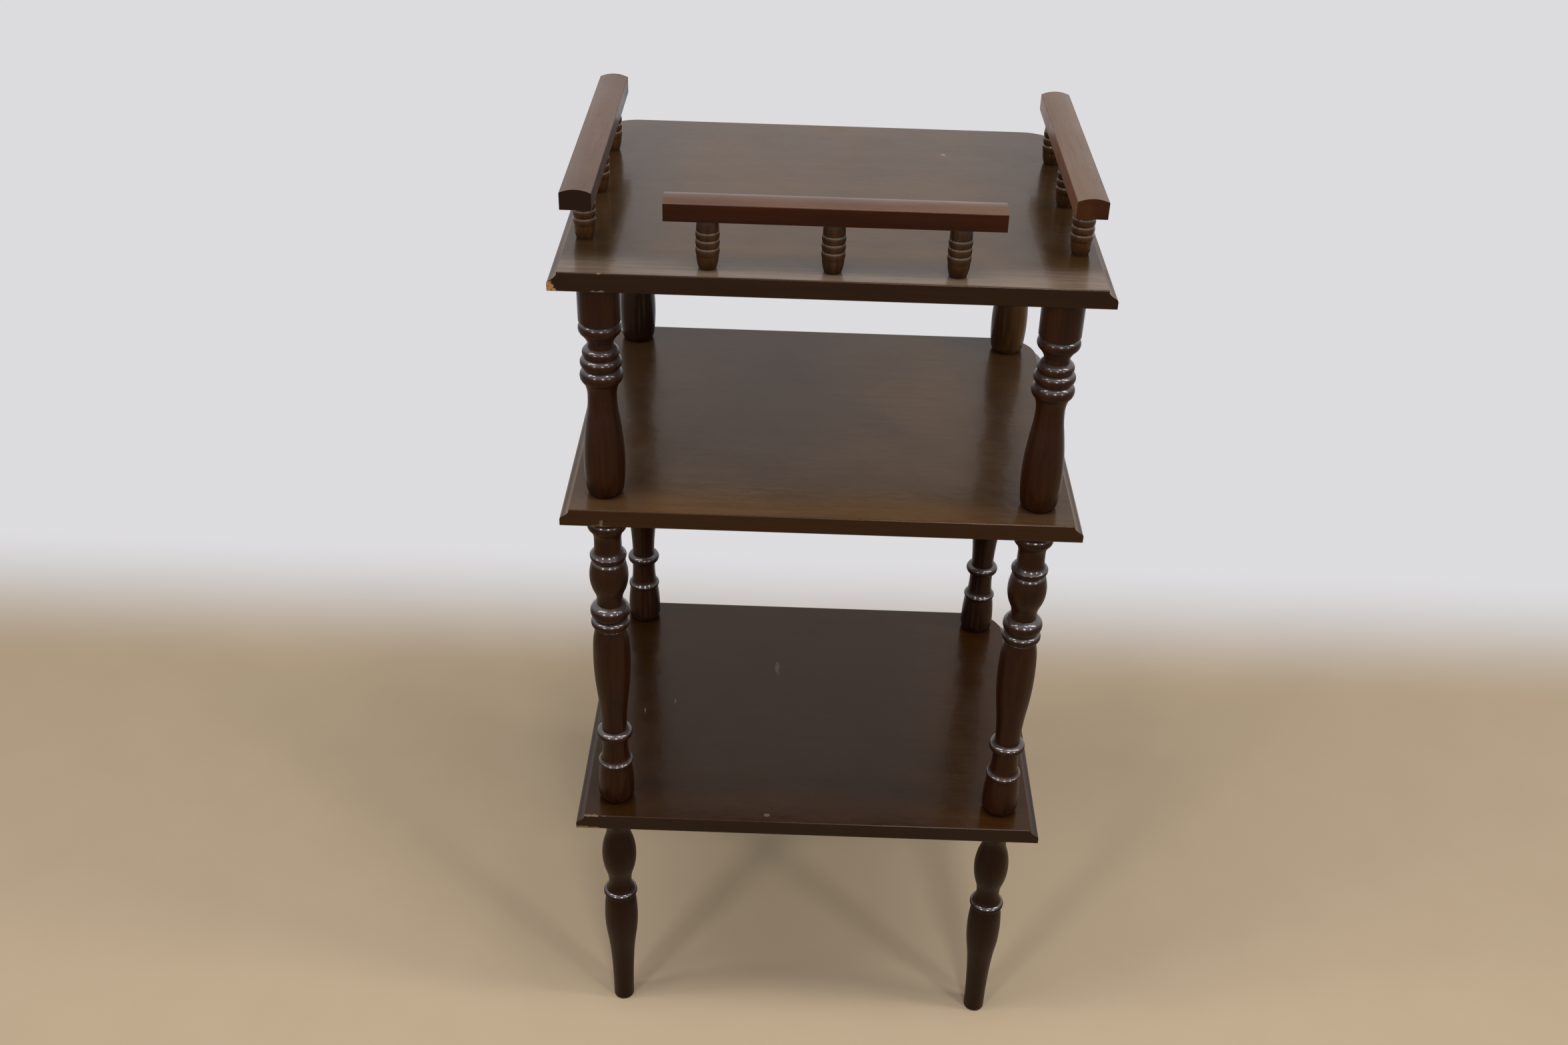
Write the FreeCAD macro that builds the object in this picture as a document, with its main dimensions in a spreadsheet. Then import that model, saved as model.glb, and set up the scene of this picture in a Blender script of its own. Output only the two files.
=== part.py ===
# Three-shelf turned etagere with a low gallery round its top shelf.
# Millimetres, +Z up, origin on the floor under the middle of the shelves.
# The open front with its rounded corners faces -Y, the square back with its gallery rail +Y.
import FreeCAD, Part
import math
import os
import re
import Sketcher
from FreeCAD import Placement, Rotation, Vector

SIZES = {
    # Shelves, all three cut to one pattern
    "ShelfWidth": 406.4,
    "ShelfDepth": 330,
    "ShelfThickness": 15,
    "CornerRadius": 38,
    "MouldWidth": 7.3,
    "ArrisRadius": 1.2,
    # Turned legs and posts
    "LegLength": 242,
    "LegRadius": 15.6,
    "LowerPostLength": 302.5,
    "LowerPostRadius": 16.2,
    "UpperPostLength": 184,
    "UpperPostRadius": 16.3,
    "PostSideInset": 33.2,
    "PostBackInset": 29.7,
    "PostFrontInset": 28.3,
    # Hardware that joins the posts through the shelves
    "StudRadius": 3,
    "StudPostDepth": 22,
    "InsertRadius": 5,
    "InsertLength": 16,
    "DowelRadius": 4,
    "DowelPostDepth": 16,
    "DowelShelfDepth": 8,
    "FitClearance": 0.15,
    "HoleClearance": 0.5,
    "EndClearance": 0.3,
    # Gallery spindles
    "SpindleLength": 38.7,
    "SpindleRadius": 8.7,
    "TenonRadius": 3,
    "TenonLength": 6,
    "BackSpindleSpacing": 89.5,
    "SideSpindleSpacing": 92.5,
    "BackRowInset": 17,
    "SideRowInset": 20.3,
    "SideRowShift": 8,
    # Gallery rails
    "RailWidth": 23,
    "RailHeight": 13.2,
    "RailCrown": 2.4,
    "RailShoulderRadius": 1,
    "BackRailLength": 240.6,
    "RightRailLength": 259,
    "RightRailShift": 7.6,
    "LeftRailLength": 235,
    "LeftRailShift": 4.8,
    # How far cutters run past what they cut
    "Overrun": 6,
}

# Outlines of the turned pieces, foot to top: height share of the length, width share of the
# radius, bow share of the stretch above (a bead above zero, a cove below, zero straight)
LEG_SHARES = [
    (0.000, 0.510, 0.200),
    (0.009, 0.608, -0.008),
    (0.248, 0.718, -0.010),
    (0.355, 0.895, 0.024),
    (0.504, 0.952, 0.035),
    (0.563, 0.801, 0.205),
    (0.574, 0.987, 0.142),
    (0.591, 0.821, -0.060),
    (0.630, 0.670, -0.043),
    (0.690, 0.825, 0.073),
    (0.852, 0.800, -0.110),
    (0.940, 0.890, 0.180),
    (0.970, 0.900, 0),
    (0.975, 0.960, 0),
    (1.000, 0.960, 0),
]
LOWER_POST_SHARES = [
    (0.000, 0.796, 0.100),
    (0.026, 0.972, 0.020),
    (0.127, 0.846, 0.280),
    (0.142, 0.858, -0.088),
    (0.162, 0.722, -0.020),
    (0.224, 0.698, 0.470),
    (0.255, 0.660, -0.016),
    (0.380, 0.825, 0.022),
    (0.560, 0.947, 0.025),
    (0.607, 0.815, 0.080),
    (0.617, 0.741, 0.460),
    (0.647, 0.741, 0.352),
    (0.694, 0.660, 0),
    (0.709, 0.657, -0.053),
    (0.734, 0.765, 0.090),
    (0.820, 0.901, 0.090),
    (0.835, 0.765, 0.115),
    (0.851, 0.920, 0.148),
    (0.857, 0.877, -0.108),
    (0.879, 0.691, 0),
    (0.906, 0.685, -0.100),
    (0.939, 0.944, 0.160),
    (0.962, 0.901, 0),
    (0.967, 0.969, 0),
    (1.000, 0.969, 0),
]
UPPER_POST_SHARES = [
    (0.000, 0.770, 0.066),
    (0.030, 0.905, 0.027),
    (0.255, 0.935, 0.007),
    (0.370, 0.780, -0.022),
    (0.468, 0.685, -0.050),
    (0.530, 0.834, 0.275),
    (0.595, 0.785, 0.330),
    (0.647, 0.791, 0.290),
    (0.692, 0.613, 0),
    (0.713, 0.607, -0.050),
    (0.751, 0.871, 0.250),
    (0.802, 0.847, 0),
    (0.811, 0.982, 0),
    (1.000, 0.994, 0),
]
SPINDLE_SHARES = [
    (0.000, 0.710, 0.050),
    (0.270, 0.935, 0.095),
    (0.425, 0.935, 0.095),
    (0.585, 0.935, 0.095),
    (0.740, 0.935, 0.040),
    (1.000, 0.800, 0),
]
# Edge moulding of a shelf, upwards: inset share of the moulding's width, height share of the
# thickness, bow share of the stretch above (a rounded nose, then a cove, then a square step)
MOULD_SHARES = [
    (0.000, 0.300, -0.150),
    (0.220, 0.560, 0.075),
    (1.000, 0.870, 0),
]
# Bow of a quarter circle, as a share of its chord
QUARTER_SHARE = math.tan(math.pi / 8) / 2

# Places of the posts on a shelf
POST_X = "(ShelfWidth / 2 - PostSideInset)"
POST_BACK = "ShelfDepth / 2 - PostBackInset"
POST_FRONT = "PostFrontInset - ShelfDepth / 2"
CORNERS = {
    "back_right": (POST_X, POST_BACK),
    "back_left": (f"-{POST_X}", POST_BACK),
    "front_right": (POST_X, POST_FRONT),
    "front_left": (f"-{POST_X}", POST_FRONT),
}
# Heights of the shelves' undersides and of the gallery's foot and rails
BOTTOM = "LegLength"
MIDDLE = f"{BOTTOM} + ShelfThickness + LowerPostLength"
TOP = f"{MIDDLE} + ShelfThickness + UpperPostLength"
GALLERY_FOOT = f"{TOP} + ShelfThickness"
GALLERY_HEAD = f"{GALLERY_FOOT} + SpindleLength"
# Rows of gallery spindles on the top shelf
BACK_ROW = "ShelfDepth / 2 - BackRowInset"
SIDE_ROW = "(ShelfWidth / 2 - SideRowInset)"
GALLERY = {
    "back": [
        ("-BackSpindleSpacing", BACK_ROW),
        ("0", BACK_ROW),
        ("BackSpindleSpacing", BACK_ROW),
    ],
    "right": [
        (SIDE_ROW, "SideRowShift - SideSpindleSpacing"),
        (SIDE_ROW, "SideRowShift"),
        (SIDE_ROW, "SideRowShift + SideSpindleSpacing"),
    ],
    "left": [
        (f"-{SIDE_ROW}", "SideRowShift - SideSpindleSpacing"),
        (f"-{SIDE_ROW}", "SideRowShift"),
        (f"-{SIDE_ROW}", "SideRowShift + SideSpindleSpacing"),
    ],
}
# Holes that the pins and their sleeves go into
STUD_BORE = "StudRadius + FitClearance"
STUD_DEPTH = "StudPostDepth + EndClearance"
INSERT_BORE = "InsertRadius + FitClearance"
INSERT_DEPTH = "InsertLength + EndClearance"
DOWEL_BORE = "DowelRadius + FitClearance"
DOWEL_DEPTH = "DowelPostDepth + EndClearance"
TENON_BORE = "TenonRadius + FitClearance"
TENON_DEPTH = "TenonLength + EndClearance"
# Kinds of feature that take something away
CUTS = ("PartDesign::Pocket", "PartDesign::SubtractivePipe", "PartDesign::Fillet")

doc = FreeCAD.newDocument("Etagere")
sheet = doc.addObject("Spreadsheet::Sheet", "Sizes")
for row, (alias, value) in enumerate(SIZES.items(), start=1):
    sheet.set(f"A{row}", alias)
    sheet.set(f"B{row}", str(value))
    sheet.setAlias(f"B{row}", alias)
doc.recompute()


def sized(text):
    """An expression on the sheet, from one written in the sheet's aliases."""
    return re.sub(r"[A-Za-z]+", lambda word: f"Sizes.{word.group()}", str(text))


def amount(text):
    return sheet.evalExpression(sized(text))


def new_body(label, x="0", y="0", z="0", turn=0):
    """A body at its place on the stand."""
    body = doc.addObject("PartDesign::Body", label)
    body.Label = label
    body.AllowCompound = True
    body.Placement = Placement(Vector(), Rotation(Vector(0, 0, 1), turn))
    for axis, text in (("x", x), ("y", y), ("z", z)):
        body.setExpression(f"Placement.Base.{axis}", sized(text))
    return body


def new_sketch(body, name, role="XY_Plane", height="0"):
    """A sketch on one of the body's origin planes, raised along that plane's normal."""
    sketch = body.newObject("Sketcher::SketchObject", name)
    plane = next(item for item in body.Origin.OriginFeatures if item.Role == role)
    sketch.AttachmentSupport = [(plane, "")]
    sketch.MapMode = "FlatFace"
    sketch.setExpression("AttachmentOffset.Base.z", sized(height))
    return sketch


class Ties:
    """The constraints of one sketch, each value bound to the sheet."""

    def __init__(self, sketch):
        self.sketch = sketch
        self.links = []
        self.texts = {}

    def add(self, kind, *items, text=None):
        if text is not None:
            self.texts[len(self.links)] = text
            items += (amount(text),)
        self.links.append(Sketcher.Constraint(kind, *items))

    def pin(self, geo, end, corner):
        """Holds a point at its place, on a sketch axis where a coordinate is zero."""
        for kind, axis, text in (("DistanceX", -2, corner[0]), ("DistanceY", -1, corner[1])):
            if text == "0":
                self.add("PointOnObject", geo, end, axis)
            else:
                self.add(kind, -1, 1, geo, end, text=text)

    def apply(self):
        self.sketch.addConstraint(self.links)
        for index, text in self.texts.items():
            self.sketch.setExpression(f"Constraints[{index}]", sized(text))


def spot(corner):
    return Vector(amount(corner[0]), amount(corner[1]), 0)


def draw(sketch, corners, closed=True):
    """Joins corners (x, y, bow share) by lines and arcs, a bow being to the right of travel."""
    ties = Ties(sketch)
    follow = corners[1:] + corners[:1] if closed else corners[1:]
    runs = []
    for (ax, ay, bow), (bx, by, _) in zip(corners, follow):
        start, end = spot((ax, ay)), spot((bx, by))
        first, last = 1, 2
        if bow == 0:
            geo = sketch.addGeometry(Part.LineSegment(start, end))
        else:
            crest = (f"(({ax}) + ({bx})) / 2 + ({bow}) * (({by}) - ({ay}))",
                     f"(({ay}) + ({by})) / 2 - ({bow}) * (({bx}) - ({ax}))")
            if amount(bow) < 0:
                first, last = 2, 1
                start, end = end, start
            geo = sketch.addGeometry(Part.Arc(start, spot(crest), end))
            mark = sketch.addGeometry(Part.Point(spot(crest)), True)
            ties.pin(mark, 1, crest)
            ties.add("PointOnObject", mark, 1, geo)
        ties.pin(geo, first, (ax, ay))
        if runs:
            ties.add("Coincident", *runs[-1], geo, first)
        runs.append((geo, last))
        if len(runs) == 1:
            origin = (geo, first)
    if closed:
        ties.add("Coincident", *runs[-1], *origin)
    else:
        ties.pin(*runs[-1], corners[-1])
    ties.apply()


def draw_circles(sketch, places, *radii):
    """Draws circles of each radius round each place."""
    ties = Ties(sketch)
    for corner in places:
        for radius in radii:
            circle = Part.Circle(spot(corner), Vector(0, 0, 1), amount(radius))
            geo = sketch.addGeometry(circle)
            ties.pin(geo, 3, corner)
            ties.add("Radius", geo, text=radius)
    ties.apply()


def pad(body, sketch, length):
    feature = body.newObject("PartDesign::Pad", f"{body.Label}_pad")
    feature.Profile = sketch
    feature.setExpression("Length", sized(length))


def drill(body, name, places, radius, depth, height="0", upward=True):
    """Round holes into a body from below, or from above where upward is false."""
    sketch = new_sketch(body, f"{name}_places", height=height)
    draw_circles(sketch, places, radius)
    feature = body.newObject("PartDesign::Pocket", name)
    feature.Profile = sketch
    feature.Reversed = upward
    feature.setExpression("Length", sized(depth))


def turned(label, length, radius, shares, foot, head, **where):
    """A body turned about its own Z axis between the corners of its foot and its head."""
    body = new_body(label, **where)
    sketch = new_sketch(body, f"{label}_outline", "XZ_Plane")
    stations = [(f"{radius} * {across}", f"{length} * {up}" if up else "0", bow)
                for up, across, bow in shares]
    draw(sketch, foot + stations + head)
    feature = body.newObject("PartDesign::Revolution", f"{label}_turning")
    feature.Profile = sketch
    feature.ReferenceAxis = (sketch, ["V_Axis"])
    return body


def same_form(body, label, **where):
    """Another body of the same form."""
    copy = new_body(label, **where)
    form = copy.newObject("PartDesign::FeatureBase", f"{label}_form")
    form.BaseFeature = body.Tip
    form.Placement = body.Tip.Placement
    copy.Tip = form
    return copy


def solid_foot():
    return [("0", "0", 0)]


def bored_foot(bore, depth):
    return [("0", depth, 0), (bore, depth, 0), (bore, "0", 0)]


def bored_head(length, bore, depth):
    floor = f"{length} - ({depth})"
    return [(bore, length, 0), (bore, floor, 0), ("0", floor, 0)]


def turned_set(name, height, *form):
    """One turned piece at each corner of the stand."""
    first = None
    bodies = []
    for corner, (x, y) in CORNERS.items():
        where = {"x": x, "y": y, "z": height}
        label = f"{name}_{corner}"
        if first is None:
            first = turned(label, *form, **where)
            doc.recompute()
            bodies.append(first)
        else:
            bodies.append(same_form(first, label, **where))
    return bodies


def legs():
    head = bored_head("LegLength", INSERT_BORE, INSERT_DEPTH)
    return turned_set("leg", "0", "LegLength", "LegRadius", LEG_SHARES, solid_foot(), head)


def lower_posts():
    foot = bored_foot(STUD_BORE, STUD_DEPTH)
    head = bored_head("LowerPostLength", INSERT_BORE, INSERT_DEPTH)
    return turned_set("lower_post", f"{BOTTOM} + ShelfThickness", "LowerPostLength",
                      "LowerPostRadius", LOWER_POST_SHARES, foot, head)


def upper_posts():
    foot = bored_foot(STUD_BORE, STUD_DEPTH)
    head = bored_head("UpperPostLength", DOWEL_BORE, DOWEL_DEPTH)
    return turned_set("upper_post", f"{MIDDLE} + ShelfThickness", "UpperPostLength",
                      "UpperPostRadius", UPPER_POST_SHARES, foot, head)


def soften(body, board, back):
    """Rounds the two long arrises of a board's back face."""
    doc.recompute()
    names = []
    for number, edge in enumerate(board.Shape.Edges, start=1):
        first, last = edge.Vertexes[0].Point, edge.Vertexes[-1].Point
        behind = math.isclose(first.y, amount(back)) and math.isclose(last.y, amount(back))
        if behind and math.isclose(first.z, last.z):
            names.append(f"Edge{number}")
    arrises = body.newObject("PartDesign::Fillet", f"{body.Label}_arrises")
    arrises.Base = (board, names)
    arrises.setExpression("Radius", sized("ArrisRadius"))


def shelf_board(label, height):
    """A board with rounded front corners and a moulding run round its sides and front."""
    body = new_body(label, z=height)
    side, front, back = "ShelfWidth / 2", "-ShelfDepth / 2", "ShelfDepth / 2"
    inner, bend = f"({side} - CornerRadius)", f"{front} + CornerRadius"
    outline = new_sketch(body, f"{label}_outline")
    draw(outline, [
        (f"-{inner}", front, 0),
        (inner, front, QUARTER_SHARE),
        (side, bend, 0),
        (side, back, 0),
        (f"-{side}", back, 0),
        (f"-{side}", bend, QUARTER_SHARE),
    ])
    pad(body, outline, "ShelfThickness")
    start = f"{back} + Overrun"
    path = new_sketch(body, f"{label}_path")
    draw(path, [
        (f"-{side}", start, 0),
        (f"-{side}", bend, QUARTER_SHARE),
        (f"-{inner}", front, 0),
        (inner, front, QUARTER_SHARE),
        (side, bend, 0),
        (side, start, 0),
    ], closed=False)
    cutter = new_sketch(body, f"{label}_cutter", "XZ_Plane", f"-({start})")
    face = [(f"MouldWidth * {inset} - {side}", f"ShelfThickness * {up}", bow)
            for inset, up, bow in MOULD_SHARES]
    above, outside = "ShelfThickness + Overrun", f"-{side} - Overrun"
    draw(cutter, face + [
        (face[-1][0], above, 0),
        (outside, above, 0),
        (outside, face[0][1], 0),
    ])
    doc.recompute()
    mould = body.newObject("PartDesign::SubtractivePipe", f"{label}_moulding")
    mould.Profile = cutter
    mould.Spine = (path, [f"Edge{i}" for i, _ in enumerate(path.Shape.Edges, start=1)])
    soften(body, mould, back)
    return body


def shelves():
    """The bottom and middle shelves are drilled through, the top one is blind both ways."""
    bottom = shelf_board("bottom_shelf", BOTTOM)
    middle = shelf_board("middle_shelf", MIDDLE)
    top = shelf_board("top_shelf", TOP)
    for board in (bottom, middle):
        drill(board, f"{board.Label}_stud_holes", CORNERS.values(),
              "StudRadius + HoleClearance", "ShelfThickness")
    drill(top, "top_shelf_dowel_holes", CORNERS.values(), DOWEL_BORE,
          "DowelShelfDepth + EndClearance")
    feet = [place for row_places in GALLERY.values() for place in row_places]
    drill(top, "top_shelf_tenon_holes", feet, TENON_BORE, TENON_DEPTH,
          height="ShelfThickness", upward=False)
    return [bottom, middle, top]


def pins(label, radii, low, high):
    """Round pins, or sleeves where two radii are given, one at each corner of the stand."""
    body = new_body(label, z=low)
    sketch = new_sketch(body, f"{label}_places")
    draw_circles(sketch, CORNERS.values(), *radii)
    pad(body, sketch, f"({high}) - ({low})")
    return body


def joining_hardware():
    """Studs through the two lower shelves into brass sleeves, and dowels under the top one."""
    sleeve = ("InsertRadius", STUD_BORE)
    sets = []
    for name, shelf in (("leg", BOTTOM), ("post", MIDDLE)):
        above = f"{shelf} + ShelfThickness"
        sets.append(pins(f"{name}_inserts", sleeve, f"{shelf} - InsertLength", shelf))
        sets.append(pins(f"{name}_studs", ("StudRadius",), f"{shelf} - InsertLength",
                         f"{above} + StudPostDepth"))
    sets.append(pins("top_dowels", ("DowelRadius",), f"{TOP} - DowelPostDepth",
                     f"{TOP} + DowelShelfDepth"))
    return sets


def gallery_spindles():
    """Small barrel-shaped spindles with three beads and a tenon at each end."""
    foot = [("0", "-TenonLength", 0), ("TenonRadius", "-TenonLength", 0), ("TenonRadius", "0", 0)]
    end = "SpindleLength + TenonLength"
    head = [("TenonRadius", "SpindleLength", 0), ("TenonRadius", end, 0), ("0", end, 0)]
    bodies = []
    for row_name, places in GALLERY.items():
        for number, (x, y) in enumerate(places, start=1):
            where = {"x": x, "y": y, "z": GALLERY_FOOT}
            label = f"{row_name}_spindle_{number}"
            if bodies:
                bodies.append(same_form(bodies[0], label, **where))
                continue
            bodies.append(turned(label, "SpindleLength", "SpindleRadius", SPINDLE_SHARES,
                                 foot, head, **where))
            doc.recompute()
    return bodies


def rail(label, length, spacing, shift="0", **where):
    """A rail with a crowned top on three tenons, its length shifted along the spindles."""
    body = new_body(label, z=GALLERY_HEAD, **where)
    section = new_sketch(body, f"{label}_section", "YZ_Plane", f"{shift} - {length} / 2")
    draw(section, [
        ("-RailWidth / 2", "0", 0),
        ("RailWidth / 2", "0", 0),
        ("RailWidth / 2", "RailHeight - RailShoulderRadius", QUARTER_SHARE),
        ("RailWidth / 2 - RailShoulderRadius", "RailHeight", "RailCrown / RailWidth"),
        ("RailShoulderRadius - RailWidth / 2", "RailHeight", QUARTER_SHARE),
        ("-RailWidth / 2", "RailHeight - RailShoulderRadius", 0),
    ])
    pad(body, section, length)
    places = [(f"-{spacing}", "0"), ("0", "0"), (spacing, "0")]
    drill(body, f"{label}_tenon_holes", places, TENON_BORE, TENON_DEPTH)
    return body


def gallery_rails():
    return [
        rail("back_rail", "BackRailLength", "BackSpindleSpacing", y=BACK_ROW),
        rail("right_rail", "RightRailLength", "SideSpindleSpacing", "RightRailShift",
             x=SIDE_ROW, y="SideRowShift", turn=90),
        rail("left_rail", "LeftRailLength", "SideSpindleSpacing", "LeftRailShift",
             x=f"-{SIDE_ROW}", y="SideRowShift", turn=90),
    ]


def check(bodies):
    """Stops unless every object is sound and every cut has taken something away."""
    for item in doc.Objects:
        if "Invalid" in item.State or "Error" in item.State:
            raise RuntimeError(f"{item.Label} failed: {item.State}")
        if item.TypeId in CUTS:
            if item.Shape.Volume >= item.BaseFeature.Shape.Volume:
                raise RuntimeError(f"{item.Label} cuts nothing")
    for body in bodies:
        if body.Shape.isNull() or not body.Shape.isValid():
            raise RuntimeError(f"{body.Label} has no sound shape")


stand = legs() + lower_posts() + upper_posts() + shelves()
stand += joining_hardware() + gallery_spindles() + gallery_rails()
doc.recompute()
check(stand)
os.makedirs("parts", exist_ok=True)
for body in stand:
    body.Shape.exportStep(f"parts/{body.Label}.step")
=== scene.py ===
# Looks of the turned etagere: stain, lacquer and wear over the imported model, on a pale stage.
import math
from collections import namedtuple
import bpy
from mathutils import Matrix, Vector


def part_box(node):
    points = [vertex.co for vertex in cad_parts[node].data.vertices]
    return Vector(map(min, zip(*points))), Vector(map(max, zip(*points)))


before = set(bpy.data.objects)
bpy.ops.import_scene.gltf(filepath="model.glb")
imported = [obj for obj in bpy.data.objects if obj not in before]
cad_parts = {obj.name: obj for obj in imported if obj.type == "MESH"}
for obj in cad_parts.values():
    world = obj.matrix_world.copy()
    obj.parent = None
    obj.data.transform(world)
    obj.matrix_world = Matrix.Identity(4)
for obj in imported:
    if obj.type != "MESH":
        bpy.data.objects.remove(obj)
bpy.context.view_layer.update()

# Camera of the photograph, in metres, degrees and millimetres
CAMERA_PLACE = (0.0250, 1.2407, 1.2635)
CAMERA_TURN_DEG = (57.158, -1.530, -178.801)
CAMERA_LENS_MM = 38.01
SENSOR_WIDTH_MM = 36.0

# Stage: a floor that fades into the pale backdrop with distance, and sooner behind the object
FLOOR_SIZE = 40.0
FLOOR_COLOUR = (0.50, 0.40, 0.26, 1)
FLOOR_SHADE = (0.47, 0.37, 0.24, 1)
FLOOR_ROUGHNESS = 0.7
FLOOR_LEVEL = 0.2
FADE_SPAN = (1.2, 3.4)
FADE_BEHIND_SPAN = (0.36, 0.64)
BACKDROP = (0.72, 0.71, 0.73, 1)
SKY_LIGHT = 0.24

# Light: rows of lamps over the object and behind the camera, all aimed at one point,
# with spacing, centre and size in metres and power in watts each
Row = namedtuple("Row", "count spacing centre size power")
LAMP_ROWS = [
    Row(5, 1.2, (-0.45, 0.5, 2.7), (0.28, 1.4), 14.0),
    Row(3, 2.2, (-0.45, 2.6, 2.2), (0.45, 0.8), 25.0),
]
LAMP_COLOUR = (1.0, 0.96, 0.99)
AIM_PLACE = (0, 0, 0.5)

# Noise: scale per metre, octaves, roughness and twist
Noise = namedtuple("Noise", "scale detail roughness twist")
FIGURE = Noise(38.0, 3.0, 0.55, 0.6)
STREAKS = Noise(260.0, 5.0, 0.65, 0.2)
PORES = Noise(900.0, 2.0, 0.50, 0.0)
CLOUDS = Noise(9.0, 2.0, 0.55, 0.0)
SMEARS = Noise(23.0, 5.0, 0.60, 0.0)
RIPPLES = Noise(60.0, 2.0, 0.55, 0.0)
CHIPS = Noise(350.0, 2.0, 0.50, 0.0)
TURNING = Noise(400.0, 3.0, 0.55, 0.0)
MOTTLE = Noise(14.0, 4.0, 0.55, 0.0)

# Spans of the noise over which a pattern goes from none to full
FIGURE_SPAN = (0.32, 0.68)
STREAK_SPAN = (0.30, 0.72)
PORE_SPAN = (0.60, 0.72)
CLOUD_SPAN = (0.30, 0.75)
RUB_SPAN = (0.45, 0.65)
GLOSS_SPAN = (0.30, 0.70)
RIM_SPAN = (0.30, 0.70)

# Grain: its axis, and factors that draw the pattern out along it
Grain = namedtuple("Grain", "axis factors")
ALONG_X = Grain((1, 0, 0), (0.05, 1.0, 1.0))
ALONG_Y = Grain((0, 1, 0), (1.0, 0.05, 1.0))
ALONG_Z = Grain((0, 0, 1), (1.0, 1.0, 0.05))

# Places on a piece: end grain by its squared lean to the grain, arrises by the turn of a rounded face,
# creases for painted shade and grime by the share of open air, and marks by their distance in reaches,
# with a ragged rim
END_SPAN = (0.12, 0.60)
EDGE_RADIUS = 0.0012
EDGE_SPAN = (0.72, 0.98)
CREASE_REACH = 0.007
CREASE_SPAN = (0.35, 0.85)
PROBE_RAYS = 4
MARK_SPAN = (0.60, 1.20)
RIM_RAGGED = 0.4

# Shares of the layers in the colour of the wood
FIGURE_SHARE = 0.55
END_SHARE = 0.75
# Share of the dust and painted sheen colour that late wood keeps on faces that look up
LATE_DUST_AND_SHEEN_SHARE = 0.72
DARK_STREAK_SHARE = 0.6
CLOUD_SHARE = 0.25
PORE_SHARE = 0.35
RUB_SHARE = 0.30
# Painted shade and grime in the creases
CREASE_SHADE_AND_GRIME_SHARE = 0.55

# Colours of one stained piece: late wood, early wood, end grain, and the faces that look up, lighter from
# dust and a painted sheen, with the lean of a face, 1 for level, at which this starts and is full
Stain = namedtuple("Stain", "dark light end dull dull_span")
ROUND_SPAN = (0.35, 0.80)
FLAT_SPAN = (0.85, 0.99)
RAIL_SPAN = (0.55, 0.92)
BEAD_SPAN = (0.12, 0.50)
DARK_END = (0.004, 0.0020, 0.0012, 1)
WORN_END = (0.25, 0.175, 0.115, 1)
DULL_END = (0.054, 0.035, 0.021, 1)
NEAR_POST = Stain((0.010, 0.0024, 0.0004, 1), (0.037, 0.0088, 0.0014, 1), DARK_END,
                  (0.070, 0.054, 0.050, 1), ROUND_SPAN)
SPINDLE = Stain((0.012, 0.0048, 0.0012, 1), (0.060, 0.0240, 0.0066, 1), DARK_END,
                (0.150, 0.112, 0.080, 1), BEAD_SPAN)
LEG = Stain((0.006, 0.0013, 0.0002, 1), (0.017, 0.0034, 0.0005, 1), DARK_END,
            (0.055, 0.040, 0.036, 1), ROUND_SPAN)
# Far posts: the post colours darkened, a painted shade
SHADED_FAR_POST = Stain((0.007, 0.0022, 0.0008, 1), (0.023, 0.0074, 0.0024, 1), DARK_END,
                 (0.060, 0.048, 0.046, 1), ROUND_SPAN)
AMBER = Stain((0.022, 0.0080, 0.0016, 1), (0.098, 0.0440, 0.0120, 1), DARK_END,
              (0.070, 0.050, 0.040, 1), ROUND_SPAN)
RAIL = Stain((0.009, 0.0014, 0.0001, 1), (0.032, 0.0056, 0.0003, 1), DARK_END,
             (0.116, 0.066, 0.042, 1), RAIL_SPAN)
WARM_RAIL = Stain((0.060, 0.0140, 0.0004, 1), (0.170, 0.0420, 0.0012, 1), DARK_END,
                  (0.142, 0.086, 0.050, 1), RAIL_SPAN)
TOP = Stain((0.004, 0.0008, 0.0001, 1), (0.012, 0.0024, 0.0002, 1), WORN_END,
            (0.067, 0.033, 0.008, 1), FLAT_SPAN)
MIDDLE = Stain((0.006, 0.0015, 0.0001, 1), (0.024, 0.0062, 0.0004, 1), WORN_END,
               (0.060, 0.027, 0.006, 1), FLAT_SPAN)
BOTTOM = Stain((0.003, 0.0005, 0.0001, 1), (0.008, 0.0014, 0.0001, 1), DULL_END,
               (0.025, 0.0090, 0.0012, 1), FLAT_SPAN)
PORE_COLOUR = (0.004, 0.0020, 0.0012, 1)
# Painted shade and grime in the creases
CREASE_SHADE_AND_GRIME_COLOUR = (0.006, 0.0030, 0.0018, 1)
RUBBED_COLOUR = (0.150, 0.085, 0.045, 1)
BARE_WOOD = (0.32, 0.18, 0.070, 1)
PALE_SCUFF = (0.22, 0.165, 0.105, 1)

# Painted light and shade on a shelf, changing along a direction: where it starts and is full, in metres,
# its colour and strength
ShelfLight = namedtuple("ShelfLight", "axis span colour strength")
# Painted shade and reflection of the side rails towards both sides, and painted light along the near edge
TOP_PAINTED_LIGHT = [
    ShelfLight((1, 0, 0), (0.11, 0.15), (0.030, 0.017, 0.007, 1), 0.8),
    ShelfLight((-1, 0, 0), (0.11, 0.15), (0.030, 0.017, 0.007, 1), 0.8),
    ShelfLight((0, 1, 0), (0.122, 0.152), (0.160, 0.118, 0.082, 1), 1.0),
]
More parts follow.
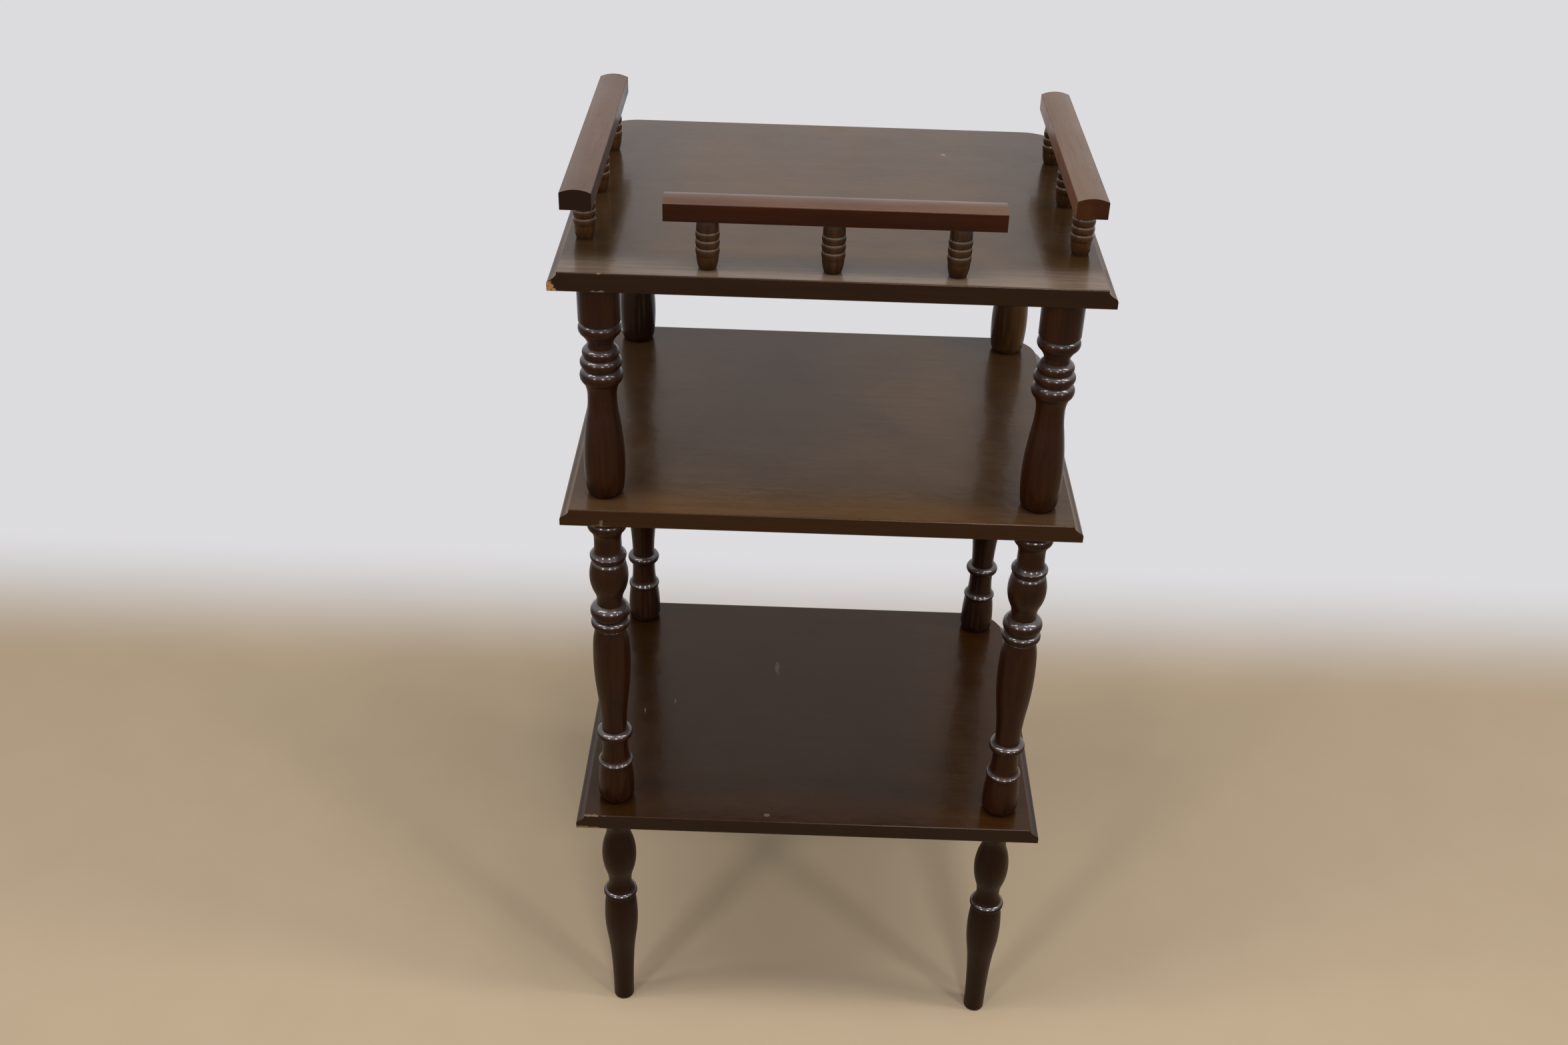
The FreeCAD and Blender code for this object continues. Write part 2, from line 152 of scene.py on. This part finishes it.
# Painted reflection, lighter and warmer towards -x; painted light along the near edge; painted shade and
# reflection of the posts towards both sides
MIDDLE_PAINTED_LIGHT = [
    ShelfLight((-1, 0, 0), (-0.05, 0.10), (0.126, 0.060, 0.010, 1), 0.8),
    ShelfLight((0, 1, 0), (0.02, 0.13), (0.102, 0.052, 0.018, 1), 1.0),
    ShelfLight((1, 0, 0), (0.11, 0.16), (0.040, 0.021, 0.010, 1), 0.7),
    ShelfLight((-1, 0, 0), (0.09, 0.15), (0.044, 0.024, 0.012, 1), 0.9),
]
# Painted reflection, lighter and warmer towards -x
BOTTOM_PAINTED_LIGHT = [ShelfLight((-1, 0, 0), (0.07, 0.15), (0.042, 0.015, 0.002, 1), 0.8)]

# Marks of use: place as shares of the piece's box, reach in metres each way, colour and strength
Mark = namedtuple("Mark", "place_shares reach colour strength")
TOP_MARKS = [
    Mark((1.000, 1.0, 0.10), (0.0062, 0.004, 0.0052), BARE_WOOD, 0.9),
    Mark((0.912, 1.0, 0.00), (0.0065, 0.003, 0.0016), PALE_SCUFF, 0.6),
    Mark((0.908, 1.0, 1.00), (0.0022, 0.0015, 0.0012), BARE_WOOD, 0.5),
    Mark((0.269, 0.209, 1.0), (0.0022, 0.0030, 0.002), PALE_SCUFF, 0.6),
]
MIDDLE_MARKS = [
    Mark((0.920, 1.0, 0.18), (0.0012, 0.003, 0.0045), PALE_SCUFF, 0.4),
    Mark((0.925, 1.0, 0.00), (0.0080, 0.003, 0.0018), PALE_SCUFF, 0.4),
]
BOTTOM_MARKS = [
    Mark((0.965, 1.0, 1.00), (0.0090, 0.002, 0.0010), PALE_SCUFF, 0.5),
    Mark((0.985, 1.0, 0.05), (0.0140, 0.004, 0.0018), BARE_WOOD, 0.5),
    Mark((0.578, 0.335, 1.0), (0.0022, 0.0090, 0.002), PALE_SCUFF, 0.35),
    Mark((0.588, 0.975, 1.0), (0.0025, 0.0020, 0.002), PALE_SCUFF, 0.4),
    Mark((0.883, 0.555, 1.0), (0.0006, 0.0030, 0.002), PALE_SCUFF, 0.7),
    Mark((0.815, 0.506, 1.0), (0.0006, 0.0030, 0.002), PALE_SCUFF, 0.5),
]

# Lacquer: specular level and tint, roughness, weight of the clear top coat on faces that look
# down or sideways and on those that look up, its roughness and index, and the grain's relief
Lacquer = namedtuple("Lacquer", "level tint gloss side_coat coat coat_gloss coat_index relief")
TURNED_LACQUER = Lacquer(0.14, (1.0, 0.80, 0.62, 1), 0.30, 0.04, 1.0, 0.15, 1.8, 0.05)
RAIL_LACQUER = Lacquer(0.16, (1.0, 0.80, 0.62, 1), 0.26, 0.02, 0.19, 0.12, 1.5, 0.05)
TOP_LACQUER = Lacquer(0.30, (1.0, 0.75, 0.55, 1), 0.20, 0.02, 0.31, 0.10, 1.5, 0.02)
MIDDLE_LACQUER = TOP_LACQUER._replace(level=0.35, coat=0.22)
BOTTOM_LACQUER = TOP_LACQUER._replace(level=0.32, coat=0.14)

# Roughness that smears and end grain add to the lacquer, its ripple, and the depth of the grain in metres
SMEAR_ROUGHNESS = 0.10
END_ROUGHNESS = 0.30
RIPPLE_RELIEF = 0.06
RIPPLE_DEPTH = 0.002
GRAIN_DEPTH = 0.0006

# Turned pieces: material, stain, and the parts of names it goes to, where a later row wins
TURNED_WORK = [
    ("turned_stain", NEAR_POST, "_post_back_"),
    ("spindle_stain", SPINDLE, "_spindle_"),
    ("leg_stain", LEG, "leg_back_", "leg_front_"),
    ("far_post_painted_shade", SHADED_FAR_POST, "_post_front_"),
    ("amber_stain", AMBER, "upper_post_front_left"),
]

# Rails: name, grain and stain
RAILS = [
    ("right_rail", ALONG_Y, RAIL),
    ("left_rail", ALONG_Y, WARM_RAIL),
    ("back_rail", ALONG_X, RAIL),
]

# Shelves: name, stain, lacquer, painted light and shade, and marks
SHELVES = [
    ("top_shelf", TOP, TOP_LACQUER, TOP_PAINTED_LIGHT, TOP_MARKS),
    ("middle_shelf", MIDDLE, MIDDLE_LACQUER, MIDDLE_PAINTED_LIGHT, MIDDLE_MARKS),
    ("bottom_shelf", BOTTOM, BOTTOM_LACQUER, BOTTOM_PAINTED_LIGHT, BOTTOM_MARKS),
]

# Hidden fixings: metals with their bright and dim colours and roughness, and bare beech
Metal = namedtuple("Metal", "name bright dim roughness")
ZINC = Metal("zinc", (0.60, 0.60, 0.58, 1), (0.48, 0.48, 0.46, 1), 0.30)
BRASS = Metal("brass", (0.72, 0.52, 0.22, 1), (0.58, 0.42, 0.18, 1), 0.30)
TURNING_FACTORS = (1, 1, 6)
TURNING_ROUGHNESS = 0.15
BEECH_DARK = (0.42, 0.28, 0.16, 1)
BEECH_LIGHT = (0.60, 0.44, 0.28, 1)
BEECH_PORE = (0.25, 0.15, 0.08, 1)
BEECH_PORE_SHARE = 0.4
BEECH_ROUGHNESS = 0.6
BEECH_RELIEF = 0.1
BEECH_DEPTH = 0.0005

# Numbers of the mix node's colour sockets
MIX_FIRST = 6
MIX_SECOND = 7
MIX_RESULT = 2


class Nodes:
    """The node tree of one material."""

    def __init__(self, name):
        self.material = bpy.data.materials.new(name)
        self.material.use_nodes = True
        self.tree = self.material.node_tree
        self.shader = self.tree.nodes["Principled BSDF"]
        self.place = self.add("TexCoord").outputs["Object"]
        self.normal = self.add("NewGeometry").outputs["Normal"]

    def feed(self, socket, value):
        """Links a socket to another node's output, or sets it to a value."""
        if isinstance(value, bpy.types.NodeSocket):
            self.tree.links.new(value, socket)
        else:
            socket.default_value = value

    def add(self, kind, inputs=None, **settings):
        node = self.tree.nodes.new(f"ShaderNode{kind}")
        for key, value in settings.items():
            setattr(node, key, value)
        for key, value in (inputs or {}).items():
            self.feed(node.inputs[key], value)
        return node

    def set(self, **values):
        """Sets or links inputs of the shader, spaces in their names written as _."""
        for key, value in values.items():
            self.feed(self.shader.inputs[key.replace("_", " ")], value)

    def math(self, operation, first, second):
        return self.add("Math", {0: first, 1: second}, operation=operation).outputs[0]

    def vector(self, operation, first, second):
        return self.add("VectorMath", {0: first, 1: second}, operation=operation).outputs[0]

    def dot(self, first, second):
        node = self.add("VectorMath", {0: first, 1: second}, operation="DOT_PRODUCT")
        return node.outputs["Value"]

    def length(self, vector):
        return self.add("VectorMath", {0: vector}, operation="LENGTH").outputs["Value"]

    def noise(self, vector, noise):
        inputs = {"Vector": vector, "Scale": noise.scale, "Detail": noise.detail,
                  "Roughness": noise.roughness, "Distortion": noise.twist}
        return self.add("TexNoise", inputs).outputs["Fac"]

    def level(self, value, span, bottom=0.0, top=1.0):
        """A smooth step from bottom to top as value goes through the span."""
        low, high = span
        inputs = {"Value": value, "From Min": low, "From Max": high,
                  "To Min": bottom, "To Max": top}
        return self.add("MapRange", inputs, interpolation_type="SMOOTHSTEP").outputs["Result"]

    def mix(self, share, first, second):
        inputs = {"Factor": share, MIX_FIRST: first, MIX_SECOND: second}
        return self.add("Mix", inputs, data_type="RGBA").outputs[MIX_RESULT]

    def cover(self, colour, layer, where, share):
        """A colour under a share of another, where that one lies."""
        return self.mix(self.math("MULTIPLY", where, share), colour, layer)

    def bump(self, height, strength, distance, normal=None):
        inputs = {"Height": height, "Strength": strength, "Distance": distance}
        if normal is not None:
            inputs["Normal"] = normal
        return self.add("Bump", inputs).outputs["Normal"]

    def facing_up(self, span, bottom=0.0, top=1.0):
        """From bottom to top as a face leans from upright to level."""
        height = self.add("SeparateXYZ", {0: self.normal}).outputs["Z"]
        return self.level(height, span, bottom, top)

    def end_grain(self, axis):
        """1 on faces square to the grain, 0 on those along it."""
        along = self.dot(self.normal, axis)
        return self.level(self.math("MULTIPLY", along, along), END_SPAN)

    def edges(self):
        """1 on the arrises of the piece, 0 on its faces."""
        rounded = self.add("Bevel", {"Radius": EDGE_RADIUS}, samples=PROBE_RAYS).outputs["Normal"]
        return self.level(self.dot(self.normal, rounded), EDGE_SPAN, bottom=1.0, top=0.0)

    def creases(self):
        """1 deep in corners between mouldings and pieces, 0 on open faces: where painted shade and grime
        go.
        """
        probe = self.add("AmbientOcclusion", {"Distance": CREASE_REACH}, samples=PROBE_RAYS)
        return self.level(probe.outputs["AO"], CREASE_SPAN, bottom=1.0, top=0.0)

    def patch(self, centre, reach):
        """1 near a point, 0 further away than about reach, with a ragged rim."""
        away = self.vector("DIVIDE", self.vector("SUBTRACT", self.place, centre), reach)
        rim = self.level(self.noise(self.place, CHIPS), RIM_SPAN, -RIM_RAGGED, RIM_RAGGED)
        distance = self.math("ADD", self.length(away), rim)
        return self.level(distance, MARK_SPAN, bottom=1.0, top=0.0)


def at_shares(node, shares):
    """The point at the given shares of a node's box."""
    low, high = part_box(node)
    return tuple(a + share * (b - a) for a, b, share in zip(low, high, shares))


def dimmed(colour, share):
    """A colour at a share of its light."""
    red, green, blue, alpha = colour
    return (share * red, share * green, share * blue, alpha)


def grain_tones(nodes, along):
    """Fine streaks of the wood, its tone from figure and streaks, and its pores, each from 0 to 1."""
    grain = nodes.vector("MULTIPLY", nodes.place, along.factors)
    figure = nodes.level(nodes.noise(grain, FIGURE), FIGURE_SPAN)
    streaks = nodes.level(nodes.noise(grain, STREAKS), STREAK_SPAN)
    tone = nodes.math("MULTIPLY", figure, FIGURE_SHARE)
    tone = nodes.math("ADD", tone, nodes.math("MULTIPLY", streaks, 1 - FIGURE_SHARE))
    pores = nodes.level(nodes.noise(grain, PORES), PORE_SPAN)
    return streaks, tone, pores


def painted_light_share(nodes, shelf_light, streaks):
    """The painted light's strength in light streaks where it is full, 0 where it hasn't started."""
    along = nodes.dot(nodes.place, shelf_light.axis)
    streaky = nodes.level(streaks, (0.0, 1.0), DARK_STREAK_SHARE, 1.0)
    return nodes.math("MULTIPLY", nodes.level(along, shelf_light.span, 0.0, shelf_light.strength), streaky)


def dust_and_sheen_top(nodes, stain, tone, streaks, shelf_lights):
    """Colour of the faces that look up, lighter from dust and a painted sheen, with painted light and
    shade on shelves.
    """
    colour = nodes.mix(tone, dimmed(stain.dull, LATE_DUST_AND_SHEEN_SHARE), stain.dull)
    # Painted light and shade on shelves
    for shelf_light in shelf_lights:
        colour = nodes.mix(painted_light_share(nodes, shelf_light, streaks), colour, shelf_light.colour)
    return colour


def worn_and_shaded(nodes, colour, smears, node, marks):
    """A colour that is rubbed at the arrises, darkened in the creases by painted shade and grime, and
    marked by use.
    """
    rub = nodes.math("MULTIPLY", nodes.edges(), nodes.level(smears, RUB_SPAN, 0.0, RUB_SHARE))
    colour = nodes.mix(rub, colour, RUBBED_COLOUR)
    # Painted shade and grime in the creases, by the share of open air
    colour = nodes.cover(colour, CREASE_SHADE_AND_GRIME_COLOUR, nodes.creases(), CREASE_SHADE_AND_GRIME_SHARE)
    for mark in marks:
        patch = nodes.patch(at_shares(node, mark.place_shares), mark.reach)
        colour = nodes.cover(colour, mark.colour, patch, mark.strength)
    return colour


def put_lacquer(nodes, lacquer, dull_span, smears, streaks, end_grain):
    """Smeared and rippled lacquer, with most of its clear coat on the faces that look up."""
    gloss = nodes.level(smears, GLOSS_SPAN, lacquer.gloss, lacquer.gloss + SMEAR_ROUGHNESS)
    gloss = nodes.math("ADD", gloss, nodes.math("MULTIPLY", end_grain, END_ROUGHNESS))
    nodes.set(Roughness=gloss, Specular_IOR_Level=lacquer.level, Specular_Tint=lacquer.tint)
    polish = nodes.facing_up(dull_span, lacquer.side_coat, lacquer.coat)
    nodes.set(Coat_Weight=polish, Coat_Roughness=lacquer.coat_gloss, Coat_IOR=lacquer.coat_index)
    ripple = nodes.bump(nodes.noise(nodes.place, RIPPLES), RIPPLE_RELIEF, RIPPLE_DEPTH)
    relief = nodes.bump(streaks, lacquer.relief, GRAIN_DEPTH, ripple)
    nodes.set(Normal=relief, Coat_Normal=ripple)


def stained_wood(name, along, stain, lacquer, node=None, shelf_lights=(), marks=()):
    """Dark stained wood under lacquer, lighter on top from dust and a painted sheen, with painted light
    and shade on shelves and painted shade and grime in creases, rubbed at its edges and marked by use.
    """
    nodes = Nodes(name)
    streaks, tone, pores = grain_tones(nodes, along)
    clouds = nodes.level(nodes.noise(nodes.place, CLOUDS), CLOUD_SPAN)
    smears = nodes.noise(nodes.place, SMEARS)
    end_grain = nodes.end_grain(along.axis)
    colour = nodes.mix(tone, stain.dark, stain.light)
    colour = nodes.cover(colour, stain.end, end_grain, END_SHARE)
    # Faces that look up are lighter from dust and a painted sheen
    top = dust_and_sheen_top(nodes, stain, tone, streaks, shelf_lights)
    colour = nodes.mix(nodes.facing_up(stain.dull_span), colour, top)
    colour = nodes.cover(colour, stain.dark, clouds, CLOUD_SHARE)
    colour = nodes.cover(colour, PORE_COLOUR, pores, PORE_SHARE)
    nodes.set(Base_Color=worn_and_shaded(nodes, colour, smears, node, marks))
    put_lacquer(nodes, lacquer, stain.dull_span, smears, streaks, end_grain)
    return nodes.material


def bright_metal(metal):
    """Threaded hardware, with fine turning marks round its axis."""
    nodes = Nodes(metal.name)
    turned = nodes.noise(nodes.vector("MULTIPLY", nodes.place, TURNING_FACTORS), TURNING)
    nodes.set(Base_Color=nodes.mix(turned, metal.bright, metal.dim), Metallic=1.0)
    rough = metal.roughness + TURNING_ROUGHNESS
    nodes.set(Roughness=nodes.level(turned, GLOSS_SPAN, metal.roughness, rough))
    return nodes.material


def beech():
    """Bare pale wood of the hidden dowels."""
    nodes = Nodes("beech")
    streaks, tone, pores = grain_tones(nodes, ALONG_Z)
    colour = nodes.mix(tone, BEECH_DARK, BEECH_LIGHT)
    nodes.set(Base_Color=nodes.cover(colour, BEECH_PORE, pores, BEECH_PORE_SHARE))
    nodes.set(Roughness=BEECH_ROUGHNESS, Normal=nodes.bump(streaks, BEECH_RELIEF, BEECH_DEPTH))
    return nodes.material


def named(*words):
    """Names of the CAD nodes that hold any of the words."""
    return [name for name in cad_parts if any(word in name for word in words)]


def dress(material, *names):
    """Gives CAD nodes a material on their own slots."""
    for name in names:
        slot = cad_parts[name].material_slots[0]
        slot.link = "OBJECT"
        slot.material = material


def dress_wood():
    for material, stain, *words in TURNED_WORK:
        dress(stained_wood(material, ALONG_Z, stain, TURNED_LACQUER), *named(*words))
    for name, along, stain in RAILS:
        dress(stained_wood(f"{name}_stain", along, stain, RAIL_LACQUER), name)
    for name, stain, lacquer, shelf_lights, marks in SHELVES:
        dress(stained_wood(f"{name}_stain", ALONG_X, stain, lacquer, name, shelf_lights, marks), name)


def dress_fixings():
    dress(bright_metal(ZINC), "leg_studs", "post_studs")
    dress(bright_metal(BRASS), "leg_inserts", "post_inserts")
    dress(beech(), "top_dowels")


def seen_rays(tree):
    """1 for rays that show the background, to the eye or in gloss and glass, and 0 for light."""
    path = tree.nodes.new("ShaderNodeLightPath")
    seen = path.outputs["Is Camera Ray"]
    for name in ("Is Glossy Ray", "Is Transmission Ray"):
        both = tree.nodes.new("ShaderNodeMath")
        both.operation = "MAXIMUM"
        tree.links.new(seen, both.inputs[0])
        tree.links.new(path.outputs[name], both.inputs[1])
        seen = both.outputs[0]
    return seen


def pale_floor():
    """A softly mottled floor that fades into the backdrop."""
    nodes = Nodes("pale_floor")
    mottle = nodes.noise(nodes.place, MOTTLE)
    nodes.set(Base_Color=nodes.mix(mottle, FLOOR_COLOUR, FLOOR_SHADE))
    nodes.set(Roughness=FLOOR_ROUGHNESS, Specular_IOR_Level=FLOOR_LEVEL)
    fade = nodes.level(nodes.length(nodes.place), FADE_SPAN)
    behind = nodes.dot(nodes.place, (0, -1, 0))
    fade = nodes.math("MAXIMUM", fade, nodes.level(behind, FADE_BEHIND_SPAN))
    fade = nodes.math("MULTIPLY", fade, seen_rays(nodes.tree))
    glow = nodes.add("Emission", {"Color": BACKDROP, "Strength": 1.0}).outputs[0]
    both = nodes.add("MixShader", {0: fade, 1: nodes.shader.outputs[0], 2: glow}).outputs[0]
    nodes.feed(nodes.tree.nodes["Material Output"].inputs["Surface"], both)
    return nodes.material


def make_floor():
    half = FLOOR_SIZE / 2
    corners = [(-half, -half, 0), (half, -half, 0), (half, half, 0), (-half, half, 0)]
    mesh = bpy.data.meshes.new("floor")
    mesh.from_pydata(corners, [], [(0, 1, 2, 3)])
    floor = bpy.data.objects.new("floor", mesh)
    bpy.context.scene.collection.objects.link(floor)
    mesh.materials.append(pale_floor())


def make_world():
    """A pale surround that lights softly, and shows at full strength to the eye and in gloss."""
    world = bpy.data.worlds.new("studio")
    world.use_nodes = True
    bpy.context.scene.world = world
    tree = world.node_tree
    back = tree.nodes["Background"]
    back.inputs["Color"].default_value = BACKDROP
    strength = tree.nodes.new("ShaderNodeMapRange")
    strength.inputs["To Min"].default_value = SKY_LIGHT
    tree.links.new(seen_rays(tree), strength.inputs["Value"])
    tree.links.new(strength.outputs["Result"], back.inputs["Strength"])


def add_lamp(row, place):
    lamp = bpy.data.lights.new("lamp", "AREA")
    lamp.shape = "RECTANGLE"
    lamp.size, lamp.size_y = row.size
    lamp.energy = row.power
    lamp.color = LAMP_COLOUR
    holder = bpy.data.objects.new(lamp.name, lamp)
    holder.location = place
    holder.rotation_euler = (place - Vector(AIM_PLACE)).to_track_quat("Z", "Y").to_euler()
    bpy.context.scene.collection.objects.link(holder)


def make_lights():
    for row in LAMP_ROWS:
        for number in range(row.count):
            offset = (number - (row.count - 1) / 2) * row.spacing
            add_lamp(row, Vector(row.centre) + Vector((offset, 0, 0)))


def make_camera():
    lens = bpy.data.cameras.new("camera")
    lens.lens = CAMERA_LENS_MM
    lens.sensor_fit = "HORIZONTAL"
    lens.sensor_width = SENSOR_WIDTH_MM
    camera = bpy.data.objects.new("camera", lens)
    camera.location = CAMERA_PLACE
    camera.rotation_euler = [math.radians(turn) for turn in CAMERA_TURN_DEG]
    bpy.context.scene.collection.objects.link(camera)
    bpy.context.scene.camera = camera


dress_wood()
dress_fixings()
make_floor()
make_world()
make_lights()
make_camera()
bpy.context.scene.view_settings.view_transform = "Standard"
